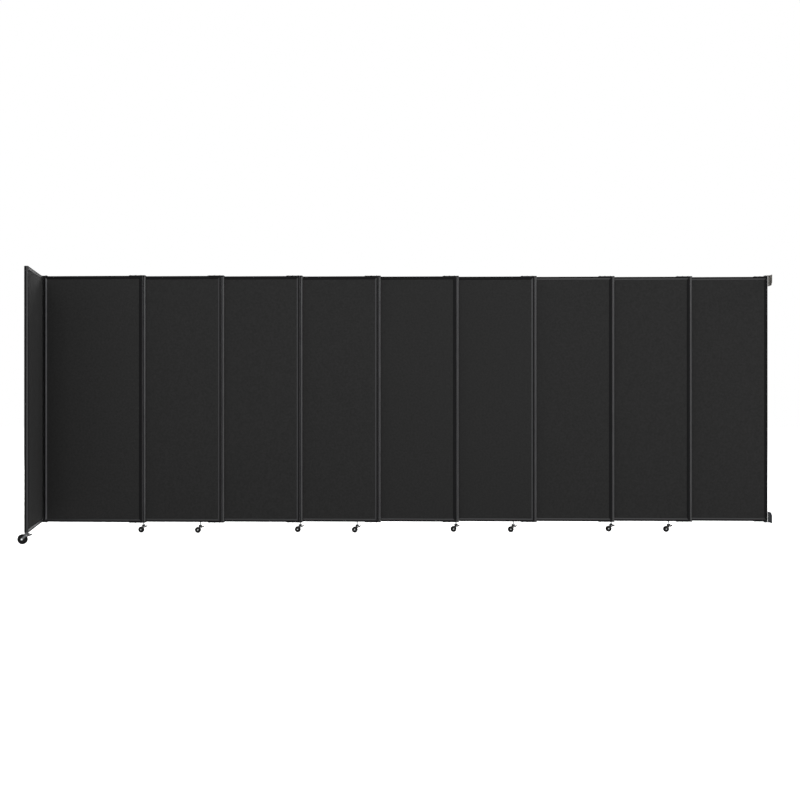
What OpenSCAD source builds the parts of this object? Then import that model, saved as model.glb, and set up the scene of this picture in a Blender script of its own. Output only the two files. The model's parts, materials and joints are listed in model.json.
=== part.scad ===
// Acoustic room divider: nine overlapping upright panels that slide past each other
// on guide shoes, hinged to a wall at one end and to a turning end panel at the other.
// The left end of panel 1 carries the end panel; panel 9 hangs on the wall brackets.

/* [Panels] */
// Width of one panel
panel_w = 808; // [760:1:900]
// Depth of a panel's frame, front to back
panel_t = 30; // [30:0.5:34]
// Height of a panel's frame
panel_h = 1995; // [1500:1:2400]
// Sideways step from one panel to the next when the run is pulled out
panel_step = 634; // [560:1:640]
// Free gap between the faces of neighbouring panels
panel_gap = 15; // [13:0.5:18]
// Height of the frames above the floor
floor_gap = 88; // [86:0.5:96]

/* [Frame bars] */
// Face width of a frame bar
bar_w = 25; // [24:0.5:30]
// Wall thickness of a frame bar
bar_wall = 2; // [1.5:0.1:2.2]
// Width of the slope on the bar's lip beside the infill
lip_w = 12; // [3:0.5:12]
// How far that slope falls towards the infill
lip_drop = 1.5; // [0.5:0.25:2]
// Radius of the bar's two outer edges
edge_r = 3; // [1:0.5:3.5]
// Depth of the slot that holds the infill board
slot_d = 10; // [6:0.5:10]
// Width of the guide groove in the outer face of a rail
groove_w = 4; // [3:0.25:4.5]
// Depth of the guide groove
groove_d = 8; // [6:0.5:9]
// Distance of the groove's middle from the rail's front face
groove_in = 4.5; // [4:0.25:5]
// Length of the solid blocks inside the rails
block_l = 40; // [30:1:60]

/* [Infill] */
// Thickness of the board inside the fabric faces
board_t = 12; // [8:0.5:14]
// How far the fabric face lies behind the frame's face
face_recess = 2; // [1:0.5:4]

/* [Guides and seals] */
// Length of a guide shoe on its own panel
shoe_back = 110; // [90:1:140]
// Length of a guide shoe beyond its panel's edge
shoe_over = 20; // [12:1:22]
// Thickness of a guide shoe's plate
shoe_t = 4; // [3:0.25:4.5]
// Width of the edge seal's bulb
seal_d = 20; // [14:0.5:20]
// Wall thickness of the edge seal
seal_wall = 2; // [1:0.25:3]
// Radius of the screws that hold the shoes and plates
screw_r = 2; // [1.5:0.1:2.5]
// Radius of those screws' heads
screw_head_r = 4.5; // [3.5:0.25:5]
// Height of those screws' heads
screw_head_h = 2.5; // [1:0.25:2.5]

/* [Hinges] */
// Radius of the hinge and pivot pins
pin_r = 4; // [3:0.25:5]
// Radius of a pin's head
pin_head_r = 7; // [6:0.5:8]
// Height of a pin's head
pin_head_h = 3; // [2:0.25:4]
// Distance of a pin from the panel's edge
pin_in = 14; // [10:0.5:16]
// Least thickness of the upright strip between the two pins of the hinge link
strip_neck = 1; // [0.5:0.25:6]
// Half width of a hinge link
link_r = 12; // [10:0.5:13]
// Thickness of a hinge link
link_t = 4; // [3:0.5:5]
// Angle of the end panel inside square to the run
end_angle = 12.5; // [0:0.5:20]

/* [Wall brackets] */
// Distance of the wall's face from the pivot pin
wall_c = 35; // [32:0.5:45]
// Thickness of a bracket's plate and arm
bracket_t = 5; // [4:0.5:6]
// Width of a bracket's wall plate, front to back
bracket_w = 120; // [110:1:160]
// Height of a bracket's wall plate
bracket_h = 85; // [80:1:120]
// How far a wall plate reaches behind the pivot pin
bracket_rear = 45; // [40:1:60]
// Half width of a bracket's arm
arm_r = 14; // [12:0.5:16]
// Free height between a rail and a bracket's arm
arm_gap = 6; // [5.5:0.25:8]
// Radius of the holes for the wall screws
wall_hole_r = 3.25; // [2.5:0.25:4]
// Distance between the wall screws, front to back
wall_hole_y = 90; // [70:1:92]
// Distance between the wall screws, up and down
wall_hole_z = 45; // [40:1:50]

/* [Casters] */
// Distance of a small caster from its panel's middle
caster_x = 233; // [150:1:250]
// Distance of the large caster from the end panel's free edge
end_caster_in = 42; // [30:1:80]
// Radius of a small caster's wheel
small_r = 24; // [20:0.5:24.5]
// Width of a small caster's wheel
small_w = 18; // [14:0.5:20]
// Radius of the large caster's wheel
large_r = 37.5; // [34:0.5:38]
// Width of the large caster's wheel
large_w = 25; // [20:0.5:28]

/* [Hidden] */
last = 9;
casters = 8;

// Clearances: hairline between fixed pieces, running fit of pins, and sliding gaps
hair = 0.1;
fit = 0.05;
slide_gap = 0.5;
seal_gap = 0.3;
board_gap = 0.3;
pad_gap = 0.5;
shoe_lift = 1;
washer_gap = 0.2;
link_gap = 0.3;
pin_end_gap = 1;
brake_gap = 0.4;
cut = 1;

// Straight steps in a rounded outline's arc
arc_steps = 24;

// Heights
z_low = floor_gap;
z_top = floor_gap + panel_h;

// Hinge: how far a panel's corners sweep round its pin, and the distance between the pins.
// The end panel's travel ends at these two directions
half_t = panel_t / 2;
sweep_r = norm([pin_in, half_t]) + slide_gap;
link_c = 2 * sweep_r + strip_neck;
end_limits = [end_angle - 90, 90];

// Places in the run, measured from panel 1's left edge and middle plane
pitch_y = panel_t + panel_gap;
pin_b_x = pin_in - link_c;
run_right = (last - 1) * panel_step + panel_w;
run_wall = run_right - pin_in + wall_c;
run_left = pin_b_x - pin_in * sin(end_angle) - half_t * cos(end_angle);
run_front = -(panel_w - pin_in) * cos(end_angle) - half_t * sin(end_angle);
run_back = (last - 1) * pitch_y + bracket_rear;

// The origin is the middle of the object's box, on the floor
x0 = -(run_left + run_wall) / 2;
y0 = -(run_front + run_back) / 2;
function panel_x(i) = x0 + (i - 1) * panel_step;
function panel_y(i) = y0 + (i - 1) * pitch_y;
pin_a = [x0 + pin_in, y0];
pin_b = [x0 + pin_b_x, y0];
wall_pin = [panel_x(last) + panel_w - pin_in, panel_y(last)];

// Insides of the frame bars
slot_w = board_t + 2 * board_gap;
chamber_v = slot_d + bar_wall;
chamber_h = bar_w - bar_wall - chamber_v;
chamber_back = half_t - bar_wall;
groove_u = -half_t + groove_in;
rail_front = groove_u + groove_w / 2 + bar_wall;
pin_end = z_top - bar_w + chamber_v + pin_end_gap;

// Guides
plate_front = groove_u + groove_w / 2 + slide_gap;
screw_y = (plate_front + half_t) / 2;
tongue_u = pitch_y + groove_u;
tongue_w = groove_w - 2 * slide_gap;
tongue_d = groove_d - shoe_lift;
shoe_screws = [-shoe_back + 12, -shoe_back + 52, -pin_in];
plate_screws = [-shoe_back + 12, -shoe_back + 52];

// Casters: wheel radius, wheel width, trail, stem radius, crown's underside, crown's height,
// crown's radius, then the brake pivot, the pedal's knee and its tip, each along and up
small_caster = [small_r, small_w, 20, 5, 55, 10, 15, [6, 46], [17, 48], [27, 55]];
large_caster = [large_r, large_w, 34, 6, 74, 8, 20, [6, 65], [22, 67], [36, 77]];
function wheel_r(kind) = kind[0];
function wheel_w(kind) = kind[1];
function trail(kind) = kind[2];
function stem_r(kind) = kind[3];
function crown_z(kind) = kind[4];
function crown_h(kind) = kind[5];
function crown_r(kind) = kind[6];
function brake_at(kind) = kind[7];
function knee_at(kind) = kind[8];
function tip_at(kind) = kind[9];
function hub_at(kind) = [-trail(kind), wheel_r(kind)];
wheel_gap = 2;
leg_t = 2.5;
axle_r = 3;
axle_boss_r = 8;
leg_top_r = 8;
leg_top_in = 1;
brake_pin_r = 2;
brake_hub_r = 5;
nose_r = 3.5;
pedal_t = 9;
pedal_side = 0.4;
brake_travel = 20;
collar_r = 7.5;
collar_h = 2.5;
stem_head_h = 1.5;
tyre_t = 7;
tread_fall = 1;
shoulder_fall = 3.5;
shoulder_share = 2 / 3;
pin_cap = 1.5;

// Where the small casters stand, two under every second panel
function caster_panel(k) = 2 * ceil(k / 2);
function caster_side(k) = k % 2 == 1 ? -1 : 1;
function stem_place(k) = panel_w / 2 + caster_side(k) * caster_x;
end_stem = panel_w - end_caster_in;

module at_panel(i) {
    translate([panel_x(i), panel_y(i), 0]) children();
}

module at_end_panel() {
    translate([pin_b[0], pin_b[1], 0]) rotate([0, 0, end_angle - 90])
        translate([-pin_in, 0, 0]) children();
}

module at_caster(k) {
    translate([panel_x(caster_panel(k)) + stem_place(k), panel_y(caster_panel(k)), 0]) children();
}

// The large caster keeps the run's own directions while its panel stands at an angle
module at_end_caster() {
    reach = end_stem - pin_in;
    translate([pin_b[0] + reach * sin(end_angle), pin_b[1] - reach * cos(end_angle), 0]) children();
}

// The same pieces at a panel's foot, upside down
module foot() {
    translate([0, 0, z_low + z_top]) mirror([0, 0, 1]) children();
}

module top_and_foot() {
    children();
    foot() children();
}

function arc(centre, r, from, to) =
    [for (k = [0:arc_steps]) let (t = from + (to - from) * k / arc_steps) centre + r * [cos(t), sin(t)]];

// Flat bar with round ends of two radii between two points
module round_bar(a, ra, b, rb) {
    turn = atan2(b[1] - a[1], b[0] - a[0]);
    lean = acos((ra - rb) / norm(b - a));
    polygon(concat(arc(a, ra, turn + lean, turn + 360 - lean), arc(b, rb, turn - lean, turn + lean)));
}

// Flat strip of one thickness from a over b to c
module bent_strip(a, b, c, thickness) {
    along_ab = (b - a) / norm(b - a);
    along_bc = (c - b) / norm(c - b);
    side_ab = thickness / 2 * [-along_ab[1], along_ab[0]];
    side_bc = thickness / 2 * [-along_bc[1], along_bc[0]];
    corner = (side_ab + side_bc) / (1 + along_ab * along_bc);
    polygon([a - side_ab, b - corner, c - side_bc, c + side_bc, b + corner, a + side_ab]);
}

// Section of a frame bar. The first axis runs through the panel's depth,
// the second from the infill outwards
module bar_section(grooved) {
    difference() {
        union() {
            translate([-half_t, lip_w]) square([panel_t, bar_w - lip_w - edge_r]);
            translate([-half_t + edge_r, lip_w])
                square([panel_t - 2 * edge_r, bar_w - lip_w]);
            for (side = [-1, 1])
                translate([side * (half_t - edge_r), bar_w - edge_r]) circle(r = edge_r, $fn = 48);
            polygon([
                [-half_t + lip_drop, 0], [half_t - lip_drop, 0],
                [half_t, lip_w], [-half_t, lip_w]
            ]);
        }
        translate([-slot_w / 2, -cut]) square([slot_w, slot_d + cut]);
        chamber_front = grooved ? rail_front : -chamber_back;
        translate([chamber_front, chamber_v]) square([chamber_back - chamber_front, chamber_h]);
        if (grooved)
            translate([groove_u - groove_w / 2, bar_w - groove_d]) square([groove_w, groove_d + cut]);
    }
}

// Solid block in a top rail's chamber
module rail_block(x, length) {
    translate([x, rail_front + hair, z_top - bar_w + chamber_v + hair])
        cube([length, chamber_back - rail_front - 2 * hair, chamber_h - 2 * hair]);
}

// Hole for an upright pin, screw or stem, from a top rail's outer face through its chamber
module rail_hole(x, y, r) {
    translate([x, y, z_top - bar_w + chamber_v]) cylinder(h = bar_w, r = r + fit, $fn = 48);
}

// Top rail with its end blocks, and a further block round each caster stem
module rail(pins, screws, stems, stem) {
    difference() {
        union() {
            translate([0, 0, z_top - bar_w]) rotate([90, 0, 90])
                linear_extrude(panel_w) bar_section(true);
            rail_block(hair, block_l);
            rail_block(panel_w - block_l - hair, block_l);
            for (x = stems) rail_block(x - block_l / 2, block_l);
        }
        for (x = pins) rail_hole(x, 0, pin_r);
        for (x = screws) rail_hole(x, screw_y, screw_r);
        for (x = stems) rail_hole(x, 0, stem);
    }
}

module stile() {
    translate([bar_w, 0, z_low + bar_w + hair]) rotate([0, 0, 90])
        linear_extrude(panel_h - 2 * bar_w - 2 * hair) bar_section(false);
}

// Two rails, two stiles and the blocks in the rails, from the panel's left edge
module frame(pins, screws, stems, stem) {
    color([0.08, 0.08, 0.08]) {
        rail(pins, screws, [], stem);
        foot() rail(pins, screws, stems, stem);
        stile();
        translate([panel_w, 0, 0]) mirror([1, 0, 0]) stile();
    }
}

module panel_frame(i) {
    pins = i == 1 ? [pin_in] : i == last ? [panel_w - pin_in] : [];
    screws = i == last ? plate_screws : shoe_screws;
    stems = i % 2 == 0 ? [stem_place(1), stem_place(2)] : [];
    at_panel(i) frame(pins, [for (s = screws) panel_w + s], stems, stem_r(small_caster));
}

module end_panel_frame() {
    at_end_panel() frame([pin_in], [], [end_stem], stem_r(large_caster));
}

// Fabric-faced acoustic board: its edges lie in the bars' slots, its faces fill the opening
module infill() {
    edge = bar_w - slot_d + board_gap;
    face = bar_w + pad_gap;
    color([0.17, 0.17, 0.17]) {
        translate([edge, -board_t / 2, z_low + edge])
            cube([panel_w - 2 * edge, board_t, panel_h - 2 * edge]);
        translate([face, -half_t + face_recess, z_low + face])
            cube([panel_w - 2 * face, panel_t - 2 * face_recess, panel_h - 2 * face]);
    }
}

// Round-headed screw through a plate on a top rail into its chamber
module screw(x) {
    color([0.3, 0.3, 0.3]) translate([x, screw_y, 0]) {
        translate([0, 0, z_top + shoe_t + hair]) cylinder(h = screw_head_h, r = screw_head_r, $fn = 48);
        translate([0, 0, pin_end]) cylinder(h = z_top + shoe_t + 2 * hair - pin_end, r = screw_r, $fn = 48);
    }
}

// Section of a top guide shoe: plate on its own rail, step over the gap,
// and tongue in the next panel's groove
module shoe_section() {
    tongue_front = tongue_u - tongue_w / 2;
    tongue_back = tongue_u + tongue_w / 2;
    polygon([
        [plate_front, 0], [half_t, 0], [half_t, shoe_lift], [tongue_front, shoe_lift],
        [tongue_front, -tongue_d], [tongue_back, -tongue_d], [tongue_back, shoe_t],
        [plate_front, shoe_t]
    ]);
}

module shoe() {
    color([0.1, 0.1, 0.1]) difference() {
        translate([panel_w - shoe_back, 0, z_top]) rotate([90, 0, 90])
            linear_extrude(shoe_back + shoe_over) shoe_section();
        for (s = shoe_screws) rail_hole(panel_w + s, screw_y, screw_r);
    }
    for (s = shoe_screws) screw(panel_w + s);
}

// Soft hollow bulb on the panel's free edge that closes the gap to the next panel
module edge_seal() {
    r = seal_d / 2;
    centre = [panel_w + r, half_t + panel_gap - seal_gap - r];
    color([0.12, 0.12, 0.12]) translate([0, 0, z_low + seal_gap])
        linear_extrude(panel_h - 2 * seal_gap) difference() {
            union() {
                translate(centre) circle(r = r, $fn = 64);
                translate([panel_w, -half_t + edge_r])
                    square([seal_wall, centre[1] + half_t - edge_r]);
            }
            translate(centre) circle(r = r - seal_wall, $fn = 64);
        }
}

module panel_guides(i) {
    at_panel(i) {
        top_and_foot() shoe();
        edge_seal();
    }
}

// Plates on the wall end of the last panel, which its pivot pins pass through
module pivot_plates() {
    at_panel(last) top_and_foot() {
        color([0.1, 0.1, 0.1]) difference() {
            translate([panel_w - shoe_back, plate_front, z_top])
                cube([shoe_back, half_t - plate_front, shoe_t]);
            for (s = plate_screws) rail_hole(panel_w + s, screw_y, screw_r);
            rail_hole(panel_w - pin_in, 0, pin_r);
        }
        for (s = plate_screws) screw(panel_w + s);
    }
}

// Pin with a round head, standing in a top rail
module headed_pin(place, head_z) {
    translate([place[0], place[1], 0]) {
        translate([0, 0, head_z]) cylinder(h = pin_head_h, r = pin_head_r, $fn = 64);
        translate([0, 0, pin_end]) cylinder(h = head_z - pin_end + hair, r = pin_r, $fn = 64);
    }
}

// Section of the upright strip between the two links: it fills the gap between the panels,
// hollowed where their corners sweep past and clear of the end panel at both its limits
module strip_section() {
    difference() {
        translate([pin_b[0], pin_b[1] - half_t]) square([link_c, panel_t]);
        for (place = [pin_a, pin_b]) translate(place) circle(r = sweep_r, $fn = 96);
        for (direction = end_limits) translate(pin_b) rotate(direction)
            translate([0, -half_t - slide_gap]) square([panel_w, panel_t + 2 * slide_gap]);
    }
}

module hinge_links() {
    color([0.07, 0.07, 0.07]) {
        top_and_foot() difference() {
            translate([0, 0, z_top + link_gap]) linear_extrude(link_t)
                round_bar(pin_b, link_r, pin_a, link_r - hair);
            for (place = [pin_a, pin_b]) rail_hole(place[0], place[1], pin_r);
        }
        translate([0, 0, z_low - link_gap + hair])
            linear_extrude(panel_h + 2 * link_gap - 2 * hair) strip_section();
    }
}

module hinge_pins() {
    color([0.25, 0.25, 0.25]) top_and_foot()
        for (place = [pin_a, pin_b]) headed_pin(place, z_top + link_gap + link_t + hair);
}

// Angle brackets on the wall: a plate with four screw holes and an arm over the panel's corner
module wall_brackets() {
    arm_z = z_top + arm_gap;
    wall_x = x0 + run_wall;
    hole_y = wall_pin[1] + bracket_rear - bracket_w / 2;
    hole_z = arm_z + bracket_t - bracket_h / 2;
    color([0.35, 0.35, 0.36]) top_and_foot() difference() {
        union() {
            translate([wall_x - bracket_t, wall_pin[1] + bracket_rear - bracket_w,
                       arm_z + bracket_t - bracket_h])
                cube([bracket_t, bracket_w, bracket_h]);
            translate([wall_pin[0], wall_pin[1] - arm_r, arm_z])
                cube([wall_c - bracket_t / 2, 2 * arm_r, bracket_t]);
            translate([wall_pin[0], wall_pin[1], arm_z]) cylinder(h = bracket_t, r = arm_r, $fn = 64);
        }
        rail_hole(wall_pin[0], wall_pin[1], pin_r);
        for (y = [-1, 1], z = [-1, 1])
            translate([wall_x - bracket_t - cut, hole_y + y * wall_hole_y / 2,
                       hole_z + z * wall_hole_z / 2])
                rotate([0, 90, 0]) cylinder(h = bracket_t + 2 * cut, r = wall_hole_r, $fn = 48);
    }
}

// Pivot pins of the last panel, each with the washer that its bracket's arm rests on
module wall_pivot_pins() {
    washer_h = arm_gap - shoe_t - 2 * washer_gap;
    color([0.5, 0.5, 0.5]) top_and_foot() {
        headed_pin(wall_pin, z_top + arm_gap + bracket_t + hair);
        translate([wall_pin[0], wall_pin[1], z_top + shoe_t + washer_gap]) difference() {
            cylinder(h = washer_h, r = pin_head_r, $fn = 64);
            translate([0, 0, -cut]) cylinder(h = washer_h + 2 * cut, r = pin_r + fit, $fn = 64);
        }
    }
}

// Crosswise cylinder or hole at a place in the caster's side view
module cross_pin(place, r, length) {
    translate([place[0], 0, place[1]]) rotate([90, 0, 0])
        cylinder(h = length, r = r, center = true, $fn = 64);
}

// Yoke with two legs under a crown, its axle, the brake's pin and the upright stem
module caster_fork(kind) {
    inner = wheel_w(kind) / 2 + wheel_gap;
    outer = inner + leg_t;
    crown_top = crown_z(kind) + crown_h(kind);
    leg_top_z = crown_top - leg_top_r - leg_top_in;
    color([0.06, 0.06, 0.06]) difference() {
        union() {
            translate([0, 0, crown_z(kind)]) cylinder(h = crown_h(kind), r = crown_r(kind), $fn = 64);
            for (side = [-1, 1])
                translate([0, side * (inner + leg_t / 2), 0]) rotate([90, 0, 0])
                    linear_extrude(leg_t, center = true) {
                        round_bar(hub_at(kind), axle_boss_r, [0, leg_top_z], leg_top_r);
                        translate(brake_at(kind)) circle(r = brake_hub_r, $fn = 64);
                    }
        }
        cross_pin(hub_at(kind), axle_r + fit, 3 * outer);
        cross_pin(brake_at(kind), brake_pin_r + fit, 3 * outer);
        translate([0, 0, crown_z(kind) - cut])
            cylinder(h = crown_h(kind) + leg_top_r, r = stem_r(kind) + fit, $fn = 64);
    }
    color([0.55, 0.55, 0.55]) {
        cross_pin(hub_at(kind), axle_r, 2 * (outer + pin_cap));
        cross_pin(brake_at(kind), brake_pin_r, 2 * (outer + pin_cap));
        translate([0, 0, crown_z(kind) - stem_head_h - hair])
            cylinder(h = stem_head_h, r = collar_r, $fn = 64);
        translate([0, 0, crown_z(kind) - hair - stem_head_h / 2])
            cylinder(h = z_low + bar_w - chamber_v - pin_end_gap - crown_z(kind) + hair + stem_head_h / 2,
                     r = stem_r(kind), $fn = 64);
        translate([0, 0, crown_top + hair])
            cylinder(h = collar_h, r = collar_r, $fn = 64);
    }
}

// Section of a tyre: flat sides, sloping shoulders and a tread that falls from its middle
module tyre_section(kind) {
    r = wheel_r(kind);
    side = wheel_w(kind) / 2;
    shoulder = side * shoulder_share;
    polygon([
        [r - tyre_t, -side], [r - shoulder_fall, -side], [r - tread_fall, -shoulder], [r, 0],
        [r - tread_fall, shoulder], [r - shoulder_fall, side], [r - tyre_t, side]
    ]);
}

// Rubber tyre round a plastic hub that turns on the axle
module caster_wheel(kind) {
    rim = wheel_r(kind) - tyre_t;
    hub = hub_at(kind);
    color([0.08, 0.08, 0.08]) translate([hub[0], 0, hub[1]]) rotate([90, 0, 0])
        rotate_extrude($fn = 96) tyre_section(kind);
    color([0.45, 0.45, 0.45]) difference() {
        union() {
            cross_pin(hub_at(kind), rim - hair, wheel_w(kind) - 2);
            cross_pin(hub_at(kind), axle_boss_r, wheel_w(kind) + 2 * wheel_gap - 2 * pedal_side);
        }
        cross_pin(hub_at(kind), axle_r + fit, 2 * wheel_w(kind));
    }
}

// Brake lever: hub on its pin, nose that swings to the tyre, and tab to tread on
module brake_pedal(kind) {
    pivot = brake_at(kind);
    to_hub = hub_at(kind) - pivot;
    nose_c = norm(to_hub) - wheel_r(kind) - nose_r - brake_gap;
    nose_turn = atan2(to_hub[1], to_hub[0]) + brake_travel;
    color([0.06, 0.06, 0.06]) rotate([90, 0, 0])
        linear_extrude(wheel_w(kind) + 2 * wheel_gap - 2 * pedal_side, center = true) difference() {
            union() {
                translate(pivot) circle(r = brake_hub_r, $fn = 64);
                round_bar(pivot, nose_r, pivot + nose_c * [cos(nose_turn), sin(nose_turn)], nose_r);
                bent_strip(pivot, knee_at(kind), tip_at(kind), pedal_t);
            }
            translate(pivot) circle(r = brake_pin_r + fit, $fn = 64);
        }
}

wall_brackets();
wall_pivot_pins();
pivot_plates();  // panel_9_pivot_plates
hinge_links();
hinge_pins();
for (i = [1:last]) {
    panel_frame(i);
    at_panel(i) infill();
}
for (i = [1:last - 1])
    panel_guides(i);
end_panel_frame();
at_end_panel() infill();  // end_panel_infill
for (k = [1:casters]) {
    at_caster(k) caster_fork(small_caster);
    at_caster(k) caster_wheel(small_caster);
    at_caster(k) brake_pedal(small_caster);
}
at_end_caster() caster_fork(large_caster);  // end_caster_fork
at_end_caster() caster_wheel(large_caster);  // end_caster_wheel
at_end_caster() brake_pedal(large_caster);  // end_caster_pedal
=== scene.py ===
# %% [markdown]
# # An acoustic room divider
# Nine fabric-faced panels stand in a row and overlap like fish scales. Each one slides
# along the front of the next on guide shoes. The last panel hangs on two brackets, and a
# turning end panel stands at the free end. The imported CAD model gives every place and
# size, in metres. This notebook gives the divider its surfaces, one piece at a time.

# %% Load the CAD frame
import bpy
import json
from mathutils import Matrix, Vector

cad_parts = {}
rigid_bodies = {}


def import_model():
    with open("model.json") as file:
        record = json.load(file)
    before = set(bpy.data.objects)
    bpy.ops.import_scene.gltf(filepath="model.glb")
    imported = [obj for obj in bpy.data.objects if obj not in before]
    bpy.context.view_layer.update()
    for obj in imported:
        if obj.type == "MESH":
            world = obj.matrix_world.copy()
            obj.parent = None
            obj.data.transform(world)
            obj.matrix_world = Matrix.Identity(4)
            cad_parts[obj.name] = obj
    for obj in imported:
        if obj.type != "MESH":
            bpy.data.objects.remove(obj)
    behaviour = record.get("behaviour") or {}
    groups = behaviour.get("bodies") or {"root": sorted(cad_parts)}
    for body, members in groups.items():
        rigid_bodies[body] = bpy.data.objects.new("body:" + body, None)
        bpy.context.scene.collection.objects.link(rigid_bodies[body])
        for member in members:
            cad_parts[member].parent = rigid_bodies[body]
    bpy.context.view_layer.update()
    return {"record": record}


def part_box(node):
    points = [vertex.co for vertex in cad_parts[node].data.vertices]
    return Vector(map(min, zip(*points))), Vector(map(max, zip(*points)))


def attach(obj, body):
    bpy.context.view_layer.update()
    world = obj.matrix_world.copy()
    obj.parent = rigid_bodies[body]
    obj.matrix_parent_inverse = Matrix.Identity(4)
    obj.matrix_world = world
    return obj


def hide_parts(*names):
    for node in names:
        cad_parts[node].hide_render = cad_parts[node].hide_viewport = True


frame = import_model()
cad_bodies = frame["record"]["behaviour"]["bodies"]

# %% Libraries
import json
import math

import bmesh
import bpy
from mathutils import Matrix, Vector

# %% [markdown]
# ## Measures from the frame
# A piece goes where the CAD says. The box of a CAD node gives the edges of a panel, and
# the workshop sizes that a box can't give are written here in millimetres. One function
# turns millimetres into Blender's metres, so that the numbers stay readable.

# %% Millimetres and the panels' places
MM = 0.001
panels, casters = 9, 8
bar_w, slot_d, slot_w = 25, 10, 12.6  # a bar of the frame, and its slot for the board
pin_in = 14  # how far a hinge or pivot pin stands in from its panel's edge
end_angle = 12.5  # degrees between the end panel and a line square to the run

panel_low, panel_high = (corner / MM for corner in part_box("panel_1_frame"))
left, z_low, z_top = panel_low.x, panel_low.z, panel_high.z
panel_w = panel_high.x - panel_low.x
middle_y = (panel_low.y + panel_high.y) / 2
half_t = (panel_high.y - panel_low.y) / 2
second_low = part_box("panel_2_frame")[0] / MM
step = second_low - panel_low
print("panel", [round(c, 2) for c in panel_high - panel_low], "step", [round(c, 2) for c in step])

pin_low, pin_high = (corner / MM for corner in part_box("hinge_pins"))
wall_pin_low, wall_pin_high = (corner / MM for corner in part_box("wall_pivot_pins"))
pin_head_r = (pin_high.y - pin_low.y) / 2
pin_b = Vector((pin_low.x + pin_head_r, middle_y, 0))
pin_a = Vector((pin_high.x - pin_head_r, middle_y, 0))
wall_pin = (wall_pin_low + wall_pin_high) / 2
print("hinge pins at", [round(c, 2) for c in pin_a], [round(c, 2) for c in pin_b])


# %% [markdown]
# ## Moving from place to place
# What repeats is modelled once on panel 1 and then copied. Three matrices carry a copy:
# a step along the run, the turn of the end panel about its hinge pin, and the mirror that
# puts a top fitting at the foot. A mirror turns a mesh inside out, so its faces are
# flipped back at once.

# %% Places as matrices
def move(x=0.0, y=0.0, z=0.0):
    return Matrix.Translation(Vector((x, y, z)) * MM)


def to_panel(number):
    return move(*(step * (number - 1)))


turn_end = Matrix.Rotation(math.radians(end_angle - 90), 4, "Z")
to_end_panel = move(*pin_b) @ turn_end @ move(-left - pin_in, -middle_y)
to_foot = move(z=z_low + z_top) @ Matrix.Scale(-1, 4, (0, 0, 1))


def body_of(node):
    return next(body for body, nodes in cad_bodies.items() if node in nodes)


# %% [markdown]
# ## Small helpers for modelling
# Blender's operators act on whatever is selected, as they do under the mouse. So each
# piece starts with everything deselected, a primitive is added, and faces or edges are
# picked in code by where they are or which way they look.

# %% Start a piece
def only(piece):
    bpy.ops.object.select_all(action="DESELECT")
    piece.select_set(True)
    bpy.context.view_layer.objects.active = piece
    return piece


def settle(name):
    piece = bpy.context.object
    piece.name = piece.data.name = name
    bpy.ops.object.transform_apply(location=True, rotation=True, scale=True)
    return piece


def start_box(name, low, high):
    low, high = Vector(low) * MM, Vector(high) * MM
    bpy.ops.object.select_all(action="DESELECT")
    bpy.ops.mesh.primitive_cube_add(size=1, location=(low + high) / 2, scale=high - low)
    return settle(name)


def start_disc(name, centre, radius, depth, axis="Z", sides=48):
    turn = (math.pi / 2, 0, 0) if axis == "Y" else (0, math.pi / 2, 0) if axis == "X" else (0, 0, 0)
    bpy.ops.object.select_all(action="DESELECT")
    bpy.ops.mesh.primitive_cylinder_add(
        vertices=sides, radius=radius * MM, depth=depth * MM, location=Vector(centre) * MM, rotation=turn
    )
    return settle(name)


# %% Pick and shape
def pick(piece, kind, test):
    """Goes into edit mode and selects just the faces or edges that pass the test."""
    if bpy.context.mode != "EDIT_MESH":
        only(piece)
        bpy.ops.object.mode_set(mode="EDIT")
    bpy.ops.mesh.select_mode(type=kind)
    bpy.ops.mesh.select_all(action="DESELECT")
    mesh = bmesh.from_edit_mesh(piece.data)
    for item in mesh.faces if kind == "FACE" else mesh.edges:
        item.select_set(bool(test(item)))
    bmesh.update_edit_mesh(piece.data)


def looks(direction, place=None):
    """A test for faces that look one way, and lie at one place along it in millimetres."""
    way = Vector(direction)
    return lambda face: face.normal.dot(way) > 0.99 and (
        place is None or abs(face.calc_center_median().dot(way) / MM - place) < 0.05
    )


def middle(edge):
    return (edge.verts[0].co + edge.verts[1].co) / 2 / MM


def along(edge):
    return (edge.verts[1].co - edge.verts[0].co).normalized()


def push(x=0.0, y=0.0, z=0.0):
    bpy.ops.mesh.extrude_region_move(TRANSFORM_OT_translate={"value": Vector((x, y, z)) * MM})


def round_off(radius, segments=3):
    bpy.ops.mesh.bevel(offset=radius * MM, segments=segments, affect="EDGES", clamp_overlap=True)


def leave(piece):
    """Back to object mode, with doubles merged and every face looking outwards."""
    bpy.ops.mesh.select_all(action="SELECT")
    bpy.ops.mesh.remove_doubles(threshold=0.00001)
    bpy.ops.mesh.normals_make_consistent(inside=False)
    bpy.ops.object.mode_set(mode="OBJECT")
    only(piece)
    bpy.ops.object.shade_smooth_by_angle(angle=math.radians(35))
    return piece


# %% Cut, weld, join and copy
def bool_with(piece, tool, operation="DIFFERENCE"):
    """Cuts a tool away from a piece, or welds it on, and throws the tool away.

    The manifold solver wants closed meshes, and every piece and tool here is closed.
    """
    only(piece)
    modifier = piece.modifiers.new("with_tool", "BOOLEAN")
    modifier.object = tool
    modifier.operation = operation
    modifier.solver = "MANIFOLD"
    bpy.ops.object.modifier_apply(modifier=modifier.name)
    bpy.data.objects.remove(tool)
    bpy.ops.object.shade_smooth_by_angle(angle=math.radians(35))
    return piece


def drill(piece, centre, radius, depth, axis="Z", sides=32):
    return bool_with(piece, start_disc("drill", centre, radius, depth, axis, sides))


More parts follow.
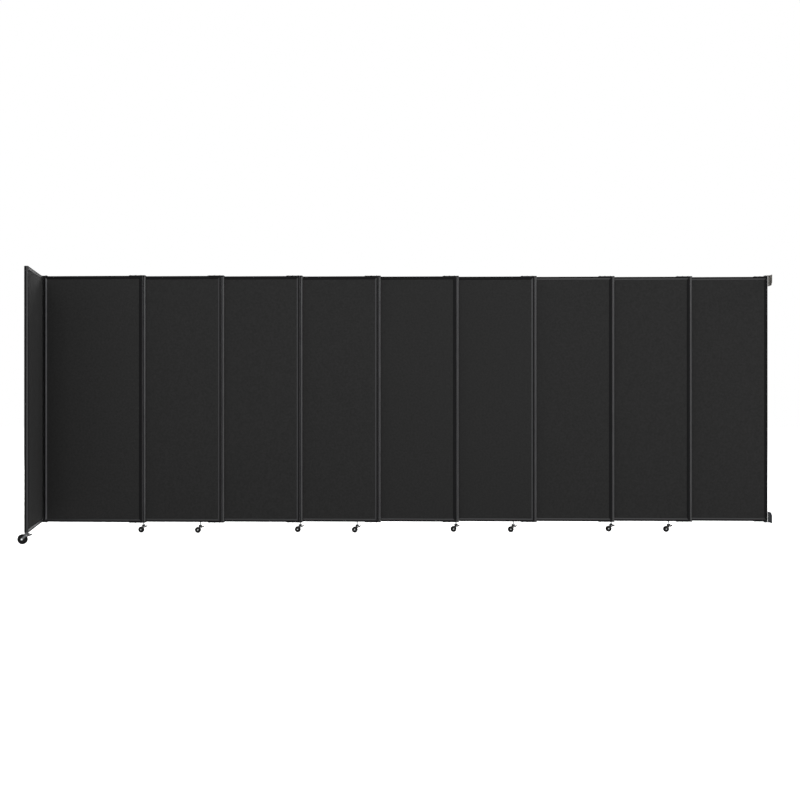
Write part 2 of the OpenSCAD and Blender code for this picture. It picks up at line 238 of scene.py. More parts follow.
def join(name, members):
    bpy.ops.object.select_all(action="DESELECT")
    for member in members:
        member.select_set(True)
    bpy.context.view_layer.objects.active = members[0]
    bpy.ops.object.join()
    joined = bpy.context.object
    joined.name = joined.data.name = name
    return joined


def twin(piece, name, place):
    """Copies a piece, with a mesh of its own, to another place on the divider."""
    only(piece)
    bpy.ops.object.duplicate()
    copy = bpy.context.object
    copy.name = copy.data.name = name
    copy.data.transform(place)
    if place.is_negative:
        copy.data.flip_normals()
    return copy


# %% Dress a finished piece
def dress(piece, material, slot, *nodes):
    """Gives a finished piece its material, its body and the CAD nodes that it stands for."""
    piece.data.materials.clear()
    piece.data.materials.append(material)
    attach(piece, body_of(nodes[0]))
    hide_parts(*nodes)
    return piece


# %% [markdown]
# ## The camera
# The photograph was taken nearly square to the run, from a little right of its middle and
# about half as high as the panels. The lens and the place below make the edges of the
# panels fall where they do in the photograph. A level camera keeps the uprights upright,
# and a very small shift moves the horizon to its place.

# %% Camera at the photograph's viewpoint
image_size = 800
horizon_row = 394.5
eye = Vector((0.4666, -9.1153, 1.122))
yaw = math.radians(3.07)

camera_data = bpy.data.cameras.new("camera")
camera_data.lens = 52.4
camera_data.sensor_width = 36
camera_data.shift_y = (horizon_row - image_size / 2) / image_size
camera = bpy.data.objects.new("camera", camera_data)
camera.location = eye
camera.rotation_euler = (math.pi / 2, 0, yaw)
bpy.context.scene.collection.objects.link(camera)
bpy.context.scene.camera = camera
print("camera at", list(eye), "lens", camera_data.lens)

# %% [markdown]
# ## Colour and nodes
# Hex colours are sRGB, as a paint card gives them, and Blender's shaders work in linear
# light, so one function converts them. A second one adds a node with its settings and
# links. Every finish below is built from these two.

# %% Helpers for materials
def linear(hex_colour):
    parts = [int(hex_colour[k:k + 2], 16) / 255 for k in (1, 3, 5)]
    light = [p / 12.92 if p <= 0.04045 else ((p + 0.055) / 1.055) ** 2.4 for p in parts]
    return (*light, 1.0)


def add_node(tree, kind, inputs=None, **settings):
    made = tree.nodes.new(kind)
    for name, value in settings.items():
        setattr(made, name, value)
    for name, value in (inputs or {}).items():
        if isinstance(value, bpy.types.NodeSocket):
            tree.links.new(value, made.inputs[name])
        else:
            made.inputs[name].default_value = value
    return made


# %% [markdown]
# ## A base for every finish
# No real surface is one flat value. Paint has a fine orange peel, moulded plastic a soft
# grain, steel a faint cloudiness. The base takes two hex colours that the surface drifts
# between, a roughness that drifts with them, and a relief whose size is given in
# millimetres. Object coordinates keep the pattern at its real scale on every piece.

# %% The base finish
# A mix node has a set of sockets for each kind of data, so the colour ones go by number.
MIX_FACTOR, MIX_A, MIX_B, MIX_RESULT = 0, 6, 7, 2


def grain(size_mm):
    """A relief of fine noise, for paint, rubber and moulded plastic."""
    def build(tree, place):
        return add_node(
            tree, "ShaderNodeTexNoise",
            {"Vector": place, "Scale": 1 / (size_mm * MM), "Detail": 2.0},
        ).outputs["Fac"]
    return build


def finish(name, dark, light, patch_mm, rough, relief, relief_mm, turn=0.0, **shader):
    material = bpy.data.materials.new(name)
    material.use_nodes = True
    tree = material.node_tree
    tree.nodes.clear()
    here = add_node(tree, "ShaderNodeTexCoord").outputs["Object"]
    place = add_node(
        tree, "ShaderNodeMapping", {"Vector": here, "Rotation": (0, 0, turn)}
    ).outputs["Vector"]
    patches = add_node(
        tree, "ShaderNodeTexNoise",
        {"Vector": place, "Scale": 1 / (patch_mm * MM), "Detail": 3.0, "Roughness": 0.6},
    ).outputs["Fac"]
    drift = add_node(
        tree, "ShaderNodeMapRange", {"Value": patches, "From Min": 0.3, "From Max": 0.7}
    ).outputs["Result"]
    colour = add_node(
        tree, "ShaderNodeMix",
        {MIX_FACTOR: drift, MIX_A: linear(dark), MIX_B: linear(light)}, data_type="RGBA",
    ).outputs[MIX_RESULT]
    roughness = add_node(
        tree, "ShaderNodeMapRange",
        {"Value": drift, "To Min": rough - 0.05, "To Max": rough + 0.05},
    ).outputs["Result"]
    bump = add_node(
        tree, "ShaderNodeBump",
        {"Height": relief(tree, place), "Distance": relief_mm * MM, "Strength": 0.8},
    ).outputs["Normal"]
    surface = add_node(
        tree, "ShaderNodeBsdfPrincipled",
        {"Base Color": colour, "Roughness": roughness, "Normal": bump, **shader},
    ).outputs["BSDF"]
    add_node(tree, "ShaderNodeOutputMaterial", {"Surface": surface})
    return material


# %% [markdown]
# ## Acoustic fabric
# The boards are wrapped in a woven polyester, matt and nearly black. Its threads cross
# over and under each other. Two sine waves multiplied together make such a checker of
# small humps, one hump for each crossing. The real threads lie about 0.8 mm apart, which
# no render of a six-metre run can show, so they are drawn 2.5 mm apart. A cloudy drift
# 16 mm wide stands for the uneven dye and nap, and a little sheen for the fibre ends.

# %% Woven acoustic fabric
thread_mm = 2.5


def weave(tree, place):
    parts = add_node(tree, "ShaderNodeSeparateXYZ", {"Vector": place})
    across, up = (
        add_node(
            tree, "ShaderNodeMath",
            {0: add_node(
                tree, "ShaderNodeMath", {0: parts.outputs[axis], 1: math.pi / (thread_mm * MM)},
                operation="MULTIPLY",
            ).outputs[0]},
            operation="SINE",
        ).outputs[0]
        for axis in ("X", "Z")
    )
    return add_node(tree, "ShaderNodeMath", {0: across, 1: up}, operation="MULTIPLY").outputs[0]


def acoustic_fabric(name, turn=0.0):
    return finish(
        name, "#272727", "#2D2D2D", 16, 0.9, weave, 0.25, turn,
        **{"Sheen Weight": 0.02, "Sheen Roughness": 0.5, "Specular IOR Level": 0.02},
    )


woven_fabric = acoustic_fabric("woven_acoustic_polyester")
woven_fabric_end = acoustic_fabric("woven_acoustic_polyester_end", math.radians(90 - end_angle))

# %% [markdown]
# ## Metal and plastic finishes
# The bars are aluminium under a matt black powder coat, whose orange peel is about 1 mm
# across. Their inner lips and the bulb seals are smoother, so they mirror more of the
# bright room, and their greys are made lighter, a painted highlight, so that they read as
# pale lines. The casters mix black enamelled steel, bright zinc, black nylon and black
# rubber. The large one's yoke is plated with a duller, grey zinc.

# %% Powder coat, lip, seal and moulded plastic
powder_coat = finish(
    "black_powder_coat", "#0A0A0B", "#0F0F10", 40, 0.7, grain(1.2), 0.03,
    **{"Specular IOR Level": 0.08},
)
# the lips' grey is lighter than the powder coat: partly a smoother satin, partly a painted highlight
satin_and_highlight_lip = finish(
    "satin_black_lip_painted_highlight", "#18181A", "#1E1E1F", 60, 0.45, grain(1.5), 0.02,
    **{"Specular IOR Level": 0.3},
)
# a paler grey for panel 1's lips by the hinge, a painted highlight that makes up for the end panel's shade
lip_painted_highlight = finish(
    "grey_lip_painted_highlight", "#525254", "#5A5A5C", 60, 0.45, grain(1.5), 0.02,
    **{"Specular IOR Level": 0.3},
)
# the seal's grey is made lighter, a painted highlight for the bright line that its gloss shows
pvc_painted_highlight = finish(
    "extruded_pvc_painted_highlight", "#2F2F30", "#373738", 80, 0.4, grain(3.0), 0.02,
    **{"Specular IOR Level": 0.35},
)
moulded_nylon = finish(
    "moulded_black_nylon", "#0A0A0A", "#0F0F0F", 20, 0.5, grain(0.6), 0.03,
    **{"Specular IOR Level": 0.08},
)

# %% Steel, zinc, grey enamel, hub plastic and rubber
black_steel = finish(
    "blackened_steel", "#141415", "#1C1C1E", 6, 0.38, grain(0.8), 0.02,
    **{"Metallic": 0.6, "Specular IOR Level": 0.3},
)
bright_zinc = finish(
    "bright_zinc_plate", "#B4B6B8", "#CDCFD0", 5, 0.28, grain(0.7), 0.02, **{"Metallic": 1.0},
)
# one enamel for both brackets: the top copy painted lighter as painted light, the foot copy darker as
# painted shade
top_bracket_painted_light = finish(
    "bracket_enamel_painted_light", "#54524D", "#5E5C56", 25, 0.7, grain(1.0), 0.03,
    **{"Specular IOR Level": 0.15},
)
foot_bracket_painted_shade = finish(
    "bracket_enamel_painted_shade", "#26282D", "#2E3136", 25, 0.7, grain(1.0), 0.03,
    **{"Specular IOR Level": 0.1},
)
black_enamel = finish(
    "black_enamelled_steel", "#0C0C0C", "#121213", 12, 0.35, grain(0.9), 0.02,
    **{"Specular IOR Level": 0.25},
)
grey_steel = finish(
    "grey_zinc_plate", "#4E4F51", "#5A5B5D", 8, 0.45, grain(0.8), 0.02,
    **{"Metallic": 0.4, "Specular IOR Level": 0.3},
)
hub_nylon = finish(
    "black_nylon_hub", "#101010", "#161616", 8, 0.5, grain(0.5), 0.03,
    **{"Specular IOR Level": 0.1},
)
black_rubber = finish(
    "black_rubber_tyre", "#080808", "#0D0D0D", 10, 0.7, grain(0.7), 0.05,
    **{"Specular IOR Level": 0.05},
)
print("materials:", len(bpy.data.materials))

# %% [markdown]
# ## The fabric board
# A stiff board lies in a slot all round the frame, and padding under the fabric brings
# both faces out nearly level with the bars. So the model starts as the thin board. Each
# face is inset to the opening, pulled out to the fabric's face, and its rim is rounded,
# as cloth pulled over an edge is.

# %% Board with two padded faces
board_t = 12
board_edge = 15.3
pad_edge = 25.5
pad_face = 13
cloth_r = 2.5

board = start_box(
    "board",
    (left + board_edge, middle_y - board_t / 2, z_low + board_edge),
    (left + panel_w - board_edge, middle_y + board_t / 2, z_top - board_edge),
)
for side in (-1, 1):
    pick(board, "FACE", looks((0, side, 0)))
    bpy.ops.mesh.inset(thickness=(pad_edge - board_edge) * MM)
    push(y=side * (pad_face - board_t / 2))
pick(board, "EDGE", lambda e: all(abs(abs(v.co.y / MM - middle_y) - pad_face) < 0.01 for v in e.verts))
round_off(cloth_r, 4)
leave(board)
print("board faces:", len(board.data.polygons))

# %% [markdown]
# ## The frame
# Four aluminium bars meet in mitred corners. A ring is the easy way to all four at once:
# a block is inset on both faces and the two inner faces are bridged into an opening. The
# second inset slopes inwards, which gives the lip beside the fabric. A saw cut through
# each corner then parts the ring into its four bars.

# %% Ring with flats and sloping lips
flat_w = 13
lip_drop = 1.5
edge_r = 3

bars = start_box("bars", panel_low, panel_high)
pick(bars, "FACE", lambda f: abs(f.normal.y) > 0.99)
bpy.ops.mesh.inset(thickness=flat_w * MM)
bpy.ops.mesh.inset(thickness=(bar_w - flat_w) * MM, depth=-lip_drop * MM)
bpy.ops.mesh.bridge_edge_loops()


def on_outer_rim(edge):
    at = middle(edge)
    outer = min(at.x - left, left + panel_w - at.x, at.z - z_low, z_top - at.z) < 0.01
    return outer and abs(abs(at.y - middle_y) - half_t) < 0.01


pick(bars, "EDGE", on_outer_rim)
round_off(edge_r, 4)
leave(bars)
print("ring faces:", len(bars.data.polygons))

# %% Slot for the board and grooves for the guides
slot_edge = bar_w - slot_d
groove_w, groove_d, groove_y = 4, 8, -10.5

bool_with(bars, start_box(
    "slot",
    (left + slot_edge, middle_y - slot_w / 2, z_low + slot_edge),
    (left + panel_w - slot_edge, middle_y + slot_w / 2, z_top - slot_edge),
))
for z in (z_low, z_top):
    bool_with(bars, start_box(
        "groove",
        (left - 1, middle_y + groove_y - groove_w / 2, z - groove_d),
        (left + panel_w + 1, middle_y + groove_y + groove_w / 2, z + groove_d),
    ))

# %% Mitred corners
saw_mm = 0.3
for x, lean_x in ((left, 1), (left + panel_w, -1)):
    for z, lean_z in ((z_low, 1), (z_top, -1)):
        bpy.ops.object.select_all(action="DESELECT")
        bpy.ops.mesh.primitive_cube_add(
            size=1,
            location=Vector((x + lean_x * bar_w / 2, middle_y, z + lean_z * bar_w / 2)) * MM,
            rotation=(0, -lean_x * lean_z * math.pi / 4, 0),
            scale=Vector((3 * bar_w, 4 * half_t, saw_mm)) * MM,
        )
        bool_with(bars, settle("saw"))
print("bars faces:", len(bars.data.polygons))

# %% [markdown]
# ## Ten panels from one
# The board and the ring of bars are now copied to every panel, and turned for the end
# panel. Each copy of the bars then gets the holes that its own fittings need: for the
# caster stems, the hinge pins and the screws.

# %% Holes in the rails
stem_in = panel_w / 2 - 233
stem_hole_r, end_stem_hole_r = 5.05, 6.05
pin_hole_r, screw_hole_r = 4.05, 2.05
hole_deep = 26
screw_y = 3.5
shoe_screws = (-98, -58, -14)
end_stem_in = 42

edge_pins = {1: pin_in, panels: panel_w - pin_in}


def rail_holes(number):
    """Places along and across the rails, the radius, and the heights, of one panel's holes."""
    both, foot = (z_low, z_top), (z_low,)
    screws = shoe_screws[:3 if number < panels else 2]
    holes = [(panel_w + s, screw_y, screw_hole_r, both) for s in screws]
    if number in edge_pins:
        holes.append((edge_pins[number], 0, pin_hole_r, both))
    if number % 2 == 0:
        holes += [(x, 0, stem_hole_r, foot) for x in (stem_in, panel_w - stem_in)]
    return holes


def drill_rails(piece, holes):
    for x, y, radius, heights in holes:
        for z in heights:
            drill(piece, (left + x, middle_y + y, z), radius, hole_deep)


for number in range(1, panels + 1):
    own_bars = twin(bars, f"panel_{number}_bars", Matrix.Identity(4))
    drill_rails(own_bars, rail_holes(number))
    own_bars.data.transform(to_panel(number))
    dress(own_bars, powder_coat, "frame", f"panel_{number}_frame")
    own_board = twin(board, f"panel_{number}_fabric_board", to_panel(number))
    dress(own_board, woven_fabric, "fabric", f"panel_{number}_infill")

drill_rails(bars, [
    (pin_in, 0, pin_hole_r, (z_low, z_top)),
    (panel_w - end_stem_in, 0, end_stem_hole_r, (z_low,)),
])
bars.data.transform(to_end_panel)
bars.name = bars.data.name = "end_panel_bars"
dress(bars, powder_coat, "frame", "end_panel_frame")
board.data.transform(to_end_panel)
board.name = board.data.name = "end_panel_fabric_board"
dress(board, woven_fabric_end, "fabric", "end_panel_infill")
print("panels in the run:", panels, "and the end panel")

# %% [markdown]
# ## Which faces are lip
# One piece may carry two finishes. The sloping faces beside the fabric are found by their
# normals, which lean a few degrees away from the panel's face, and get the smoother
# finish, whose lighter grey is partly a painted highlight. The rule is written for the
# panel's own directions, so the end panel's normals are first turned back. On the front,
# the lips that catch no light keep the powder coat, as painted shade. The lip beside the
# hinge stands in the end panel's shade and gets a paler grey, a painted highlight.

# %% Satin finish on the sloping lips
lip_lean = math.atan2(lip_drop, bar_w - flat_w)
# lips of the panels in these two lists keep the powder coat, as painted shade where they catch no light
painted_shade_tops, painted_shade_sides = (1, 2, 3, 4, 5, 6), (1, 5, 7, 8, 9)
SATIN, PAINTED_HIGHLIGHT = 1, 2  # a bar's second and third material
slopes = 0.05  # how much of a normal has to lie along x or z


def paint_lips(piece, turn=None, number=0):
    piece.data.materials.append(satin_and_highlight_lip)
    back = (turn or Matrix.Identity(4)).to_3x3().inverted()
    painted = 0
    for face in piece.data.polygons:
        way = back @ face.normal
        lean = math.acos(min(1.0, abs(way.y)))
        # painted shade: such a lip keeps the darker powder coat
        plain = way.y < 0 and (
            number in painted_shade_tops and way.z < -slopes or number in painted_shade_sides and way.x < -slopes
        )
        if abs(lean - lip_lean) < math.radians(1) and not plain:
            face.material_index = SATIN
            painted += 1
    return painted


for number in range(1, panels + 1):
    lip_faces = paint_lips(bpy.data.objects[f"panel_{number}_bars"], number=number)
print("satin lip faces on the last panel:", lip_faces)

# painted highlight: panel 1's lips beside the hinge get the paler grey
first_bars = bpy.data.objects["panel_1_bars"]
first_bars.data.materials.append(lip_painted_highlight)
for face in first_bars.data.polygons:
    by_hinge = face.center.x / MM < left + bar_w and face.normal.x > slopes
    if face.material_index == SATIN and by_hinge:
        face.material_index = PAINTED_HIGHLIGHT

# %% Painted highlight band on the end panel's free edge
end_bars = bpy.data.objects["end_panel_bars"]
edge_way = turn_end.to_3x3() @ Vector((1, 0, 0))
back_way = turn_end.to_3x3() @ Vector((0, 1, 0))
highlight_band_in, touching = 1.5, 0.1
highlight_band_from = pin_b * MM + back_way * highlight_band_in * MM
pick(end_bars, "FACE", lambda f: f.normal.dot(edge_way) > 0.99)
bpy.ops.mesh.bisect(plane_co=highlight_band_from, plane_no=back_way)
leave(end_bars)
paint_lips(end_bars, turn_end)
edge_at = max(v.co.dot(edge_way) for v in end_bars.data.vertices)
# painted highlight: the back part of the free edge's end face gets the satin lip finish, as a light strip
for face in end_bars.data.polygons:
    at_edge = edge_at - face.center.dot(edge_way) < touching * MM
    if at_edge and (face.center - highlight_band_from).dot(back_way) > 0:
        face.material_index = SATIN

# %% [markdown]
# ## Screws and pins
# Both are button heads on a shank: a disc whose top edge is rounded, with a hexagon
# socket sunk into it. The socket is cut with a six-sided cylinder. A shank is a little
# thinner than its hole and ends in the solid block inside the rail.

# %% Button head on a shank
dome_share = 0.6
shank_in, shank_lap, shank_fit = 12, 0.5, 0.05
hair = 0.1  # keeps two pieces just apart


def headed(name, centre, foot_z, head_z, head_r, head_h, shank_r, socket_r):
    x, y = centre
    head = start_disc(name, (x, y, head_z + head_h / 2), head_r, head_h)
    pick(head, "EDGE", lambda e: all(v.co.z / MM > head_z + head_h - 0.01 for v in e.verts))
    round_off(head_h * dome_share, 4)
    leave(head)
    drill(head, (x, y, head_z + head_h), socket_r, head_h, sides=6)
    shank_h = head_z + shank_lap - foot_z
    shank = start_disc("shank", (x, y, foot_z + shank_h / 2), shank_r, shank_h, sides=32)
    return bool_with(head, shank, "UNION")


# %% [markdown]
# ## Guide shoes
# A shoe is screwed to the trailing end of each top and bottom rail. It steps across the
# gap, and its tongue runs in the groove of the next panel, so that the panels can only
# slide. It is moulded in one piece: a plate, a step lifted a millimetre off its
# neighbour, and a tongue.

# %% Shoe with its step and tongue
right = left + panel_w
plate_front, shoe_t, shoe_lift = -8, 4, 1
shoe_back, shoe_over = 110, 20
tongue_from, tongue_to, tongue_d = 33, 36, 8
screw_head_r, screw_head_h, screw_socket_r = 4.5, 2.5, 1.5

shoe = start_box(
    "shoe",
    (right - shoe_back, middle_y + plate_front, z_top),
    (right + shoe_over, middle_y + half_t, z_top + shoe_t),
)
pick(shoe, "FACE", lambda f: True)
bpy.ops.mesh.bisect(plane_co=(0, 0, (z_top + shoe_lift) * MM), plane_no=(0, 0, 1))
pick(shoe, "FACE", lambda f: f.normal.y > 0.99 and f.calc_center_median().z / MM > z_top + shoe_lift)
push(y=tongue_from - half_t)
push(y=tongue_to - tongue_from)
pick(shoe, "FACE", lambda f: f.normal.z < -0.99 and f.calc_center_median().y / MM > middle_y + tongue_from)
push(z=-tongue_d)
leave(shoe)


def soften(piece, radius, segments=2):
    """Rounds every sharp edge of a piece a little, as a mould or a file leaves it."""
    only(piece)
    modifier = piece.modifiers.new("soft_edges", "BEVEL")
    modifier.width = radius * MM
    modifier.segments = segments
    modifier.limit_method = "ANGLE"
    modifier.angle_limit = math.radians(40)
    modifier.use_clamp_overlap = True
    bpy.ops.object.modifier_apply(modifier=modifier.name)
    bpy.ops.object.shade_smooth_by_angle(angle=math.radians(35))
    return piece


soften(shoe, 0.6)
for s in shoe_screws:
    drill(shoe, (right + s, middle_y + screw_y, z_top), screw_hole_r, 4 * shoe_t)
print("shoe faces:", len(shoe.data.polygons))

# %% Its screws
screw = headed(
    "screw", (right + shoe_screws[0], middle_y + screw_y), z_top - shank_in, z_top + shoe_t + hair,
    screw_head_r, screw_head_h, screw_hole_r - shank_fit, screw_socket_r,
)
screw_row = [screw] + [twin(screw, "screw", move(x=s - shoe_screws[0])) for s in shoe_screws[1:]]
plate_screws = join("plate_screws", [
    twin(screw, "screw", move(x=s - shoe_screws[0])) for s in shoe_screws[:2]
])
screw_row = join("screw_row", screw_row)
print("faces of three screws:", len(screw_row.data.polygons))

# %% [markdown]
# ## Bulb seals
# A soft hollow bulb on the free edge of each panel closes the gap to the panel behind it.
# It is an extrusion, so a long cylinder is opened into a tube by insetting its two ends
# and bridging them, and the flange that is pressed onto the stile is welded on.

# %% Tube with a flange
seal_r, seal_wall, seal_y = 10, 2, 19.7
seal_gap = 0.3
flange_t = 1.9

seal_z = (z_low + z_top) / 2
seal = start_disc(
    "seal", (right + seal_r, middle_y + seal_y, seal_z), seal_r, z_top - z_low - 2 * seal_gap, sides=64
)
pick(seal, "FACE", lambda f: abs(f.normal.z) > 0.99)
bpy.ops.mesh.inset(thickness=seal_wall * MM)
bpy.ops.mesh.bridge_edge_loops()
leave(seal)
bool_with(seal, start_box(
    "flange",
    (right, middle_y - half_t + edge_r, z_low + seal_gap),
    (right + flange_t, middle_y + seal_y, z_top - seal_gap),
), "UNION")
print("seal faces:", len(seal.data.polygons))

# %% Guides and seals on eight panels
for number in range(1, panels):
    there = to_panel(number)
    node = f"panel_{number}_guides"
    dress(twin(shoe, f"panel_{number}_top_shoe", there), moulded_nylon, "guide", node)
    dress(twin(shoe, f"panel_{number}_foot_shoe", there @ to_foot), moulded_nylon, "guide", node)
    dress(twin(screw_row, f"panel_{number}_top_screws", there), black_steel, "guide", node)
    dress(twin(screw_row, f"panel_{number}_foot_screws", there @ to_foot), black_steel, "guide", node)
    dress(twin(seal, f"panel_{number}_bulb_seal", there), pvc_painted_highlight, "guide", node)
for model in (shoe, screw_row, seal):
    bpy.data.objects.remove(model)
print("guides and seals on panels 1 to", panels - 1)

# %% [markdown]
# ## Pivot plates
# The last panel has no next one to run on. Its bracket end carries a plate at the top and
# one at the foot instead, each with two screws and a hole for the pivot pin.

# %% Plates on the bracket end of the last panel
plate = start_box(
    "plate", (right - shoe_back, middle_y + plate_front, z_top), (right, middle_y + half_t, z_top + shoe_t)
)
pick(plate, "EDGE", lambda e: abs(along(e).z) > 0.99)
round_off(3)
leave(plate)
soften(plate, 0.5)
for s in shoe_screws[:2]:
    drill(plate, (right + s, middle_y + screw_y, z_top), screw_hole_r, 4 * shoe_t)
drill(plate, (right - pin_in, middle_y, z_top), pin_hole_r, 4 * shoe_t)
print("plate faces:", len(plate.data.polygons))
there = to_panel(panels)
node = "panel_9_pivot_plates"
dress(twin(plate, "pivot_plate_top", there), powder_coat, "guide", node)
dress(twin(plate, "pivot_plate_foot", there @ to_foot), powder_coat, "guide", node)
dress(twin(plate_screws, "pivot_plate_top_screws", there), black_steel, "guide", node)
dress(twin(plate_screws, "pivot_plate_foot_screws", there @ to_foot), black_steel, "guide", node)
for model in (plate, plate_screws):
    bpy.data.objects.remove(model)

# %% [markdown]
# ## Hinge links and strip
# The end panel hangs on two flat steel links, one at the top and one at the foot, each
# with a pin at both ends. A link's outline is a band stretched round two discs, and that
# is just what a convex hull makes. The same helper serves the casters later. A black
# strip stands between the two links and keeps the light out. Both panels sweep past it as
# they turn, so their paths are cut out of a plain bar: two rounds and two slants.

# %% A flat bar with two round ends
def bar_between(name, a, a_r, b, b_r, thick, axis):
    first = start_disc("first_end", a, a_r, thick, axis, sides=40)
    second = start_disc("second_end", b, b_r, thick, axis, sides=40)
    bar = join(name, [first, second])
    pick(bar, "FACE", lambda f: True)
    bpy.ops.mesh.convex_hull()
    return leave(bar)


link_r, link_t, link_gap = 12, 4, 0.3
link_z = z_top + link_gap + link_t / 2
link = bar_between(
    "link", (pin_b.x, pin_b.y, link_z), link_r, (pin_a.x, pin_a.y, link_z), link_r - hair, link_t, "Z"
)
soften(link, 0.7)
for pin in (pin_a, pin_b):
    drill(link, (pin.x, pin.y, link_z), pin_hole_r, 4 * link_t)
dress(twin(link, "hinge_link_foot", to_foot), black_enamel, "link", "hinge_links")
link.name = link.data.name = "hinge_link_top"
dress(link, black_enamel, "link", "hinge_links")
print("link faces:", len(link.data.polygons))

# %% Strip between the links
slide_gap = 0.5
path_l, path_over = 200, 10
sweep_r = math.hypot(pin_in, half_t) + slide_gap
strip_low, strip_high = z_low - link_gap + hair, z_top + link_gap - hair
strip = start_box(
    "hinge_strip", (pin_b.x, middle_y - half_t, strip_low), (pin_a.x, middle_y + half_t, strip_high)
)
for pin in (pin_a, pin_b):
    drill(strip, (pin.x, pin.y, (strip_low + strip_high) / 2), sweep_r, 2 * strip_high, sides=96)
for angle in (end_angle - 90, 90):
    path = start_box(
        "path", (0, -half_t - slide_gap, strip_low - path_over),
        (path_l, half_t + slide_gap, strip_high + path_over),
    )
    path.data.transform(move(*pin_b) @ Matrix.Rotation(math.radians(angle), 4, "Z"))
    bool_with(strip, path)
dress(strip, black_enamel, "link", "hinge_links")
print("strip faces:", len(strip.data.polygons))

# %% Hinge pins
pin_head_h, pin_socket_r = 3, 2.5
pin_head_z = z_top + link_gap + link_t + hair
for label, pin in (("a", pin_a), ("b", pin_b)):
    top_pin = headed(
        f"hinge_pin_{label}_top", (pin.x, pin.y), z_top - shank_in, pin_head_z,
        pin_head_r, pin_head_h, pin_hole_r - shank_fit, pin_socket_r,
    )
    dress(twin(top_pin, f"hinge_pin_{label}_foot", to_foot), black_steel, "pin", "hinge_pins")
    dress(top_pin, black_steel, "pin", "hinge_pins")
print("pin faces:", len(top_pin.data.polygons))

# %% [markdown]
# ## Brackets
# Two brackets of one grey enamel carry the whole run. The top one is painted warmer and
# lighter as painted light, and the foot one darker and bluer as painted shade. Each is a
# plate with four screw holes, whose corner towards the room is cut off at a slant, and an
# arm that reaches over the panel's corner to the pivot pin. A small fillet stands for the weld.

# %% Bracket
bracket_t, bracket_h, bracket_rear, bracket_w = 5, 85, 45, 120
wall_c, arm_r, arm_gap = 35, 14, 6
wall_hole_r, wall_hole_y, wall_hole_z = 3.25, 90, 45
slant, bracket_round, weld_r = 25, 4, 2.5
near, lap, tool_size = 1, 1, 50  # to find an edge, to overlap a weld, to reach past a cut
wall_x = wall_pin.x + wall_c
arm_z = z_top + arm_gap
bracket_top = arm_z + bracket_t
plate_y = (wall_pin.y + bracket_rear - bracket_w, wall_pin.y + bracket_rear)

bracket = start_box(
    "bracket", (wall_x - bracket_t, plate_y[0], bracket_top - bracket_h),
    (wall_x, plate_y[1], bracket_top),
)
pick(bracket, "EDGE", lambda e: abs(along(e).x) > 0.99 and middle(e).y < plate_y[0] + near
     and middle(e).z < bracket_top - bracket_h + near)
round_off(slant, 1)
pick(bracket, "EDGE", lambda e: abs(along(e).x) > 0.99 and abs(middle(e).z - bracket_top) > near)
round_off(bracket_round, 4)
leave(bracket)
arm = bar_between(
    "arm", (wall_pin.x, wall_pin.y, arm_z + bracket_t / 2), arm_r,
    (wall_x - bracket_t - lap, wall_pin.y, arm_z + bracket_t / 2), arm_r, bracket_t, "Z",
)
bool_with(arm, start_box(
    "arm_end", (wall_x - bracket_t / 2, wall_pin.y - tool_size, arm_z - lap),
    (wall_x + tool_size, wall_pin.y + tool_size, bracket_top + lap),
))
bool_with(bracket, arm, "UNION")
weld = start_box(
    "weld", (wall_x - bracket_t - weld_r, wall_pin.y - arm_r, arm_z - weld_r),
    (wall_x - bracket_t + lap, wall_pin.y + arm_r, arm_z + lap),
)
pick(weld, "EDGE", lambda e: middle(e).x < wall_x - bracket_t
     and middle(e).z < arm_z - weld_r + touching and abs(along(e).y) > 0.99)
round_off(weld_r * 0.95, 1)  # a little less than the whole corner, so that no edge vanishes
leave(weld)
bool_with(bracket, weld, "UNION")
soften(bracket, 0.6)
hole_z = bracket_top - bracket_h / 2
hole_y = sum(plate_y) / 2
for y in (-1, 1):
    for z in (-1, 1):
        drill(bracket, (wall_x, hole_y + y * wall_hole_y / 2, hole_z + z * wall_hole_z / 2),
              wall_hole_r, 4 * bracket_t, "X")
drill(bracket, (wall_pin.x, wall_pin.y, arm_z), pin_hole_r, 4 * bracket_t)
dress(twin(bracket, "wall_bracket_foot", to_foot), foot_bracket_painted_shade, "bracket", "wall_brackets")
bracket.name = bracket.data.name = "wall_bracket_top"
dress(bracket, top_bracket_painted_light, "bracket", "wall_brackets")
print("bracket faces:", len(bracket.data.polygons))

# %% Pivot pins and washers
washer_gap = 0.2
washer_h = arm_gap - shoe_t - 2 * washer_gap
pivot = headed(
    "pivot_pin_top", (wall_pin.x, wall_pin.y), z_top - shank_in, bracket_top + hair,
    pin_head_r, pin_head_h, pin_hole_r - shank_fit, pin_socket_r,
)
dress(twin(pivot, "pivot_pin_foot", to_foot), bright_zinc, "pin", "wall_pivot_pins")
dress(pivot, bright_zinc, "pin", "wall_pivot_pins")
washer = start_disc(
    "pivot_washer_top", (wall_pin.x, wall_pin.y, z_top + shoe_t + washer_gap + washer_h / 2),
    pin_head_r, washer_h,
)
soften(washer, 0.3)
drill(washer, (wall_pin.x, wall_pin.y, z_top + shoe_t), pin_hole_r, 4 * washer_h)
dress(twin(washer, "pivot_washer_foot", to_foot), bright_zinc, "pin", "wall_pivot_pins")
dress(washer, bright_zinc, "pin", "wall_pivot_pins")
print("washer faces:", len(washer.data.polygons))

# %% [markdown]
# ## Casters
# Every second panel rolls on two small braked casters, and the end panel on a larger one.
# Both sizes have the same parts, so one set of functions builds them from a few measures:
# a rubber tyre round a ribbed hub, a yoke of two legs under a crown, a threaded zinc stem
# with its nut, an axle, and a pedal that presses a nose onto the tyre. The place of each
# stem comes from the frame.

